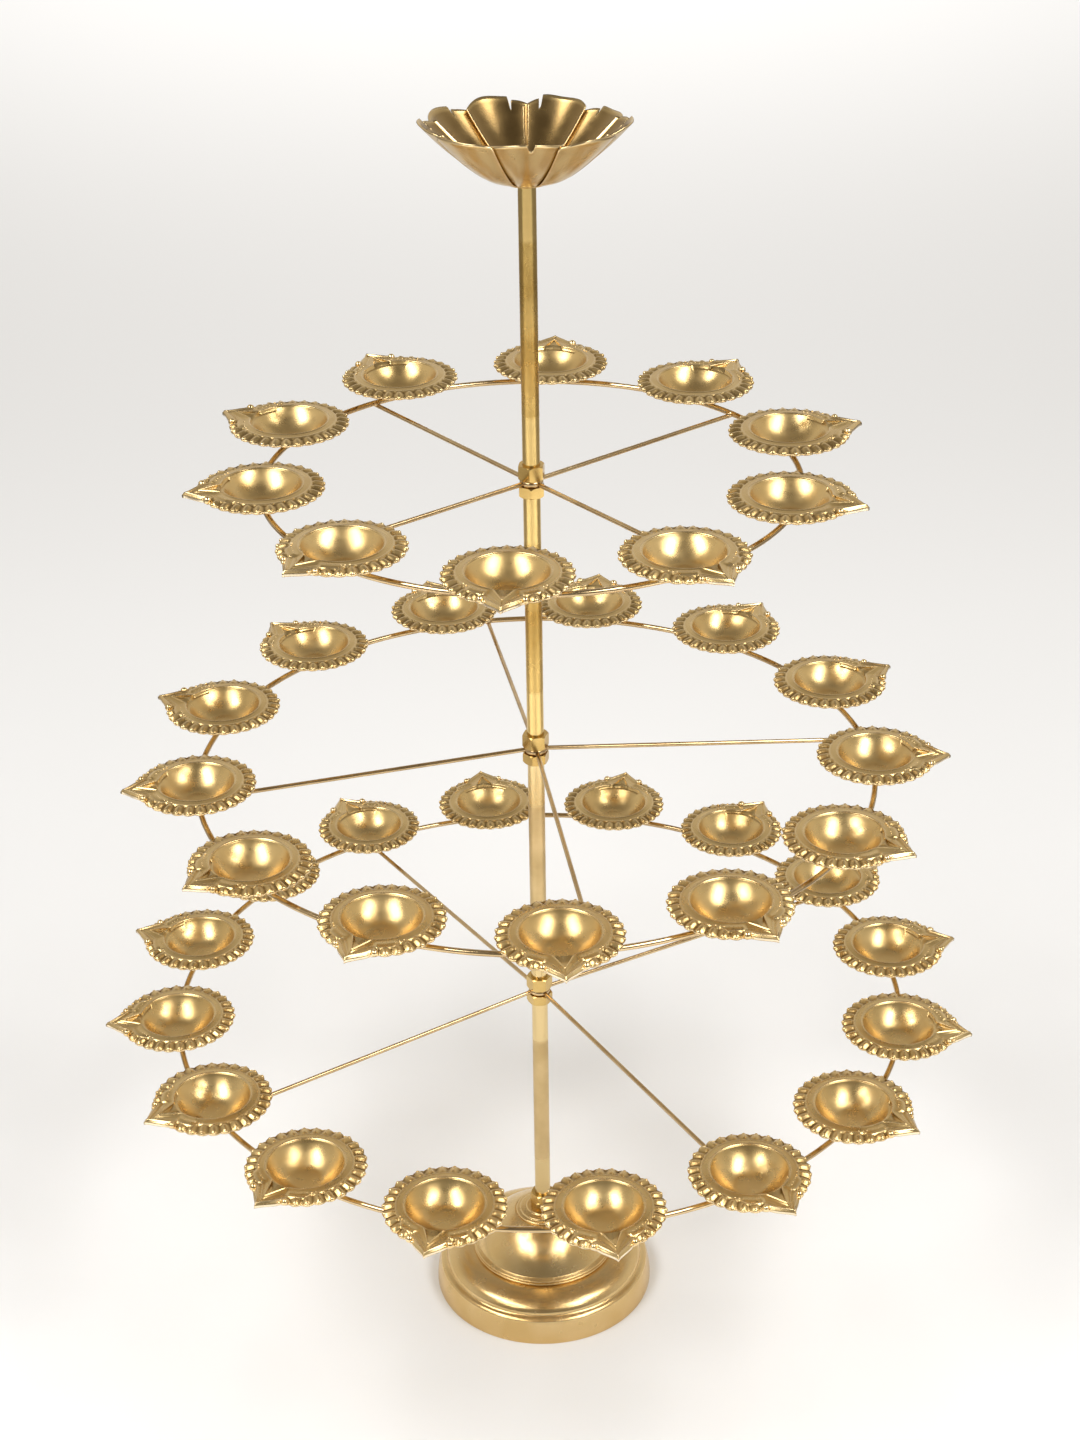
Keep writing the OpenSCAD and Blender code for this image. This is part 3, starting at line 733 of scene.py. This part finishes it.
def petal_data(index, low, height, reach):
    """Points and faces of one petal, a closed sheet whose side edges are folded."""
    layer, notch_at, notch_half, notch_deep, bent_low = PETAL_PLAN[index]
    across, along = 81, 26
    half_angle = math.pi / PETALS * 1.1
    middle = -math.pi / 2 + index * TURN / PETALS
    us, vs = np.meshgrid(np.linspace(-1, 1, across), np.linspace(0, 1, along) ** 0.9, indexing="ij")
    notch = notch_deep * np.clip(2.4 - 2 * np.abs(us - notch_at) / notch_half, 0, 1)
    step = 0.7 * np.tanh((us - notch_at) / 0.03) * math.copysign(1, notch_at) * (notch_half < 0.06)
    rim_loss = 4.6 * np.abs(us) ** 2.6 + notch - 0.4 * np.cos(us * 5 + index) + step + 0.6 + bent_low
    depth = np.maximum(rim_loss, 0) * np.clip((vs - 0.55) / 0.45, 0, 1) ** 1.5
    t = np.clip(vs - depth / 50.0, 0, 1)
    spread = PETAL_FLOOR + t * (reach - PETAL_FLOOR - 1.2)
    rise = (height - 1.4) * t ** PETAL_FLARE
    hollow = 2.4 * (np.abs(us) ** 2 - 0.4) * np.sin(np.minimum(vs, 0.85) * math.pi * 0.55)
    fold = np.clip((np.abs(us) - 0.93) / 0.07, 0, 1) ** 1.3 * np.clip(vs * 5, 0, 1)
    lift = layer * np.clip(vs * 4, 0, 1) + (0.8 if layer > 0 else -0.9) * fold - np.maximum(hollow, -1.1)
    angle = middle + us * half_angle
    steepness = (height - 1.4) * PETAL_FLARE * np.maximum(t, 0.02) ** (PETAL_FLARE - 1)
    slope = np.arctan2(steepness, reach - PETAL_FLOOR)
    sheets = []
    for side in (0.5, -0.5):
        move = lift + side * PETAL_SHEET
        r = np.minimum(spread + move * np.sin(slope), reach - 0.3)
        h = low + rise - move * np.cos(slope) * np.clip(vs * 3, 0, 1)
        sheets.append(np.stack([r * np.cos(angle), r * np.sin(angle), np.maximum(h, low - 0.5)], axis=2))
    outer, inner = sheets
    count = across * along
    points = np.vstack([outer.reshape(-1, 3), inner.reshape(-1, 3)])
    faces = []
    for i in range(across - 1):
        for j in range(along - 1):
            a, b, c, d = i * along + j, (i + 1) * along + j, (i + 1) * along + j + 1, i * along + j + 1
            faces.append((a, b, c, d))
            faces.append((count + a, count + d, count + c, count + b))
    border = ([i * along for i in range(across)] + [(across - 1) * along + j for j in range(1, along)]
              + [i * along + along - 1 for i in range(across - 2, -1, -1)] + list(range(along - 2, 0, -1)))
    for a, b in zip(border, border[1:] + border[:1]):
        faces.append((b, a, count + a, count + b))
    shine = np.clip((vs - 0.97) * 30, 0, 1) * 0.6 + fold * 0.7
    # painted shade: the inner sheet of each petal is darkened, except near its rim and at its folds
    painted_shade = 0.75 * np.clip((0.98 - vs) * 20, 0, 1) * (1 - np.clip(fold * 2, 0, 1))
    return points, outward(points, faces), np.concatenate([shine.reshape(-1), (shine - painted_shade).reshape(-1)])


def make_lotus():
    reach, low, high = radius_and_height("lotus_cup")
    all_points, all_faces, all_polish_and_shade = [], [], []
    start = 0
    for index in range(PETALS):
        points, faces, polish_and_shade = petal_data(index, low + 0.6, high - low, reach)
        all_points.append(points)
        all_faces += [tuple(start + k for k in face) for face in faces]
        all_polish_and_shade.append(polish_and_shade)
        start += len(points)
    mesh = mesh_from("lotus_petals", np.vstack(all_points), all_faces, np.concatenate(all_polish_and_shade))
    add_piece("lotus_petals", mesh, "lotus", LOTUS_BRASS, ["lotus_cup"])
    floor = [(LOTUS_BORE, low), (PETAL_FLOOR + 1.5, low), (PETAL_FLOOR + 2.5, low + 0.8),
             (PETAL_FLOOR + 2.4, low + 1.6), (PETAL_FLOOR + 1.0, low + 1.25), (LOTUS_BORE, low + 1.2)]
    add_piece("lotus_floor", turned("lotus_floor", floor, 72), "lotus", LOTUS_BRASS)


# ---------------------------------------------------------------- base and pole


def make_base():
    base_r, _, foot_top = radius_and_height("base_foot")
    dome_r, _, dome_top = radius_and_height("base_dome")
    boss_r, boss_low, boss_top = radius_and_height("base_boss")
    bore, band_h, wall, rim = BASE_BORE, BAND_HEIGHT, BASE_WALL, DOME_RIM
    crease = base_r - 3.4
    sweep = np.linspace(0, math.pi / 2, 14)
    outer = [(base_r - 2.4 * t * t, t * (band_h - 0.8)) for t in np.linspace(0, 1, 7)]
    outer += [(crease + 0.2, band_h - 0.2), (crease - 0.5, band_h + 0.25), (crease - 1.6, band_h + 0.5)]
    shoulder_from = crease - 2.6
    outer += [(dome_r + (shoulder_from - dome_r) * math.cos(a),
               band_h + 1.1 + (foot_top - band_h - 1.1) * math.sin(a)) for a in sweep]
    inner = [(r - wall, max(z - wall * 0.8, 0.0)) for r, z in reversed(outer)]
    foot = outer + [(dome_r - 7, foot_top), (dome_r - 7, foot_top - wall)] + inner[1:]
    add_piece("foot_dish", turned("foot_dish", foot, 192, 0.25), "stand", BASE_BRASS,
              ["base_foot"])

    land = boss_r + 1.0
    rise = dome_top - foot_top
    centre = (dome_top + foot_top) / 2 - (rim ** 2 - land ** 2) / (2 * rise)
    sphere = math.hypot(rim, foot_top - centre)
    heights = np.linspace(0, 1, 26)
    dome = [(math.sqrt(sphere ** 2 - (foot_top + t * rise - centre) ** 2), foot_top + t * rise)
            for t in heights]
    beads = []
    for r, z in ((rim + 0.35, foot_top + 0.9), (rim - 0.15, foot_top + 2.45)):
        beads += [(r + 0.85 * math.cos(a), z + 0.75 * math.sin(a)) for a in np.linspace(-1.3, 1.3, 7)]
    upper = [p for p in dome if p[1] > foot_top + 3.4]
    inside = [(math.sqrt((sphere - wall) ** 2 - (z - centre) ** 2), z)
              for z in np.linspace(dome_top - wall, foot_top + 0.02, 12)]
    outline = beads + upper + [(bore, dome_top), (bore, dome_top - wall)] + inside
    add_piece("spun_dome", turned("spun_dome", outline, 192, 0.2), "stand", BASE_BRASS,
              ["base_dome"])

    boss = [(bore, boss_low), (boss_r, boss_low), (boss_r, boss_low + 0.7), (boss_r - 0.5, boss_low + 1.2),
            (boss_r - 2.2, boss_low + 1.4), (boss_r - 2.5, boss_low + 2.2), (boss_r - 3.4, boss_low + 2.5),
            (10.4, boss_low + 2.7), (10.0, boss_low + 3.3), (9.6, boss_top), (bore, boss_top)]
    add_piece("stepped_boss", turned("stepped_boss", boss, 128, 0.3), "stand", BASE_BRASS,
              ["base_boss"])


def tube_points(bottom, top, outside, bore, seed):
    """Outline points of a tube whose ends carry a fine turned rib pattern."""
    generator = np.random.default_rng(seed)
    heights = np.arange(bottom, top, 1.0)
    outer = []
    for z in heights:
        from_end = min(z - bottom, top - z)
        ripple = 0.0 if from_end > END_BAND else TUBE_RIPPLE * generator.uniform(-1, 1)
        outer.append((outside - TUBE_SHY + ripple, float(z)))
    outer.append((outside - TUBE_SHY, top))
    return outer + [(bore, top), (bore, bottom)]


def make_pole():
    for k in range(1, 5):
        node = f"pole_section_{k}"
        outside, bottom, top = radius_and_height(node)
        outline = tube_points(bottom, top, outside, TUBE_BORE, seed=k)
        mesh = turned(f"pole_tube_{k}", outline, 96, 0.15)
        heights = np.array([v.co.z for v in mesh.vertices]) / MM
        from_end = np.minimum(heights - bottom, top - heights)
        polish_and_shade = np.clip((END_BAND - from_end) / 2.5, 0, 1) * 0.75
        set_wear_and_shade(mesh, polish_and_shade)
        add_piece(f"pole_tube_{k}", mesh, "stand", POLE_BRASS if k > 2 else RUBBED_BRASS, [node])


def dress_cad_nodes():
    """Materials of the CAD nodes that stay as they are."""
    finishes = {"base_hex_nuts": NUT_BRASS, "nuts_above_hubs": NUT_BRASS, "nuts_below_hubs": NUT_BRASS,
                "lotus_screw": NUT_BRASS, "base_anchor_nut": STEEL, "joint_studs": STEEL}
    for node, material in finishes.items():
        mesh = frame["nodes"][node].data
        mesh.materials.clear()
        mesh.materials.append(material)


# ---------------------------------------------------------------- studio


def plain(name, colour, rough):
    material = bpy.data.materials.new(name)
    material.use_nodes = True
    shader = material.node_tree.nodes["Principled BSDF"]
    shader.inputs["Base Color"].default_value = (*colour, 1)
    shader.inputs["Roughness"].default_value = rough
    return material


def make_floor():
    """White paper under the lamp, wider away from it, that fades to grey far out on both sides: the grey is
    painted shade, the fall-off of the light painted into the paper.
    """
    mesh = bpy.data.meshes.new("studio_floor")
    half = 30.0
    corners = [(-half, -half, 0), (half, -half, 0), (half, half, 0), (-half, half, 0)]
    mesh.from_pydata(corners, [], [(0, 1, 2, 3)])
    floor = bpy.data.objects.new("studio_floor", mesh)
    bpy.context.scene.collection.objects.link(floor)
    paper = plain("white_paper", (0.93, 0.93, 0.93), 0.9)
    tree = paper.node_tree
    where = add_node(tree, "ShaderNodeTexCoord", (-1300, 0)).outputs["Object"]
    split = add_node(tree, "ShaderNodeSeparateXYZ", (-1100, 0))
    tree.links.new(where, split.inputs["Vector"])
    aside = add_node(tree, "ShaderNodeMath", (-900, 100), operation="ABSOLUTE")
    tree.links.new(split.outputs["X"], aside.inputs[0])
    # half width of the white: it opens slowly behind the lamp and quickly in front of it
    behind = scaled(tree, split.outputs["Y"], 0.42, 6.4, (-900, -100), 0.0, 30.0)
    in_front = scaled(tree, split.outputs["Y"], 36.4, 0.42, (-900, -300), -30.0, 0.0)
    widest = add_node(tree, "ShaderNodeMath", (-700, -100), operation="MAXIMUM")
    tree.links.new(behind, widest.inputs[0])
    tree.links.new(in_front, widest.inputs[1])
    beyond = add_node(tree, "ShaderNodeMath", (-700, 100), operation="SUBTRACT")
    tree.links.new(aside.outputs["Value"], beyond.inputs[0])
    tree.links.new(widest.outputs["Value"], beyond.inputs[1])
    # painted shade: beyond the white the paper is darkened to grey, standing in for the light falling off
    shade = scaled(tree, beyond.outputs["Value"], 0.0, 1.0, (-500, 0), 0.0, 0.45)
    white, grey = (0.93, 0.93, 0.93), (0.36, 0.35, 0.34)
    colour = ramp(tree, shade, ((0.0, white), (1.0, grey)), (-300, 0))
    tree.links.new(colour, tree.nodes["Principled BSDF"].inputs["Base Color"])
    mesh.materials.append(paper)


def add_softbox(name, place, target, width, length, power):
    light = bpy.data.lights.new(name, "AREA")
    light.shape = "RECTANGLE"
    light.size, light.size_y = width, length
    light.energy = power
    box = bpy.data.objects.new(name, light)
    bpy.context.scene.collection.objects.link(box)
    back = (Vector(place) - Vector(target)).normalized()
    long_way = (Vector((0, 1, 0)) - back * back.y).normalized()
    turn = Matrix((long_way.cross(back), long_way, back)).transposed().to_4x4()
    box.matrix_world = Matrix.Translation(place) @ turn
    return box


def add_floor_light(name, place, power, cone):
    """Lights the paper from straight above; its cone keeps clear of the lamp."""
    light = bpy.data.lights.new(name, "SPOT")
    light.energy = power
    light.spot_size = math.radians(cone)
    light.spot_blend = 1.0
    light.shadow_soft_size = 0.5
    spot = bpy.data.objects.new(name, light)
    bpy.context.scene.collection.objects.link(spot)
    spot.location = place


def make_lights():
    add_softbox("softbox_left", (-1.2, -0.8, 2.25), (0, 0, 0.35), 0.8, 1.9, 38)
    add_softbox("softbox_right", (1.2, -0.8, 2.25), (0, 0, 0.35), 0.8, 1.9, 38)
    add_floor_light("back_of_floor", (0, 4.4, 4.0), 480, 88)
    for name, side in (("pool_left", -1), ("pool_right", 1)):
        add_floor_light(name, (0.78 * side, -0.68, 2.2), 300, 28)
    bpy.context.scene.view_settings.view_transform = "Standard"
    world = bpy.data.worlds.new("studio_air")
    bpy.context.scene.world = world
    world.use_nodes = True
    tree = world.node_tree
    background = tree.nodes["Background"]
    sky = add_node(tree, "ShaderNodeTexCoord", (-900, 0)).outputs["Generated"]
    split = add_node(tree, "ShaderNodeSeparateXYZ", (-700, 0))
    tree.links.new(sky, split.inputs["Vector"])
    shades = ((0.0, (0.72, 0.70, 0.66)), (0.5, (0.68, 0.65, 0.60)), (0.76, (0.30, 0.28, 0.25)),
              (1.0, (0.22, 0.20, 0.18)))
    colour = ramp(tree, split.outputs["Z"], shades, (-500, 0))
    tree.links.new(colour, background.inputs["Color"])
    # the room is darker in front
    strength = scaled(tree, split.outputs["Y"], 0.35, 1.1, (-500, -300), -0.9, 0.1)
    tree.links.new(strength, background.inputs["Strength"])


def make_camera():
    """Looks down on the lamp from the front, turned a little about its own axis."""
    distance, height, sideways = 1.2555, 1.0728, 0.0026
    pitch, roll = math.radians(90 - 28.47), math.radians(-0.85)
    data = bpy.data.cameras.new("camera")
    data.lens = 64.6
    camera = bpy.data.objects.new("camera", data)
    bpy.context.scene.collection.objects.link(camera)
    camera.matrix_world = (Matrix.Translation((sideways, -distance, height)) @ Matrix.Rotation(pitch, 4, "X")
                           @ Matrix.Rotation(roll, 4, "Z"))
    bpy.context.scene.camera = camera


# ---------------------------------------------------------------- the lamp

make_camera()
make_lights()
make_floor()
cup_shape = cup_mesh_data()
beads = bead_tree()
wires = wire_tree()
for seed, tier in enumerate(TIERS, start=1):
    make_cups(tier, cup_shape)
    make_beads(tier, beads, seed)
    make_wires(tier, wires, seed)
make_lotus()
make_base()
make_pole()
dress_cad_nodes()
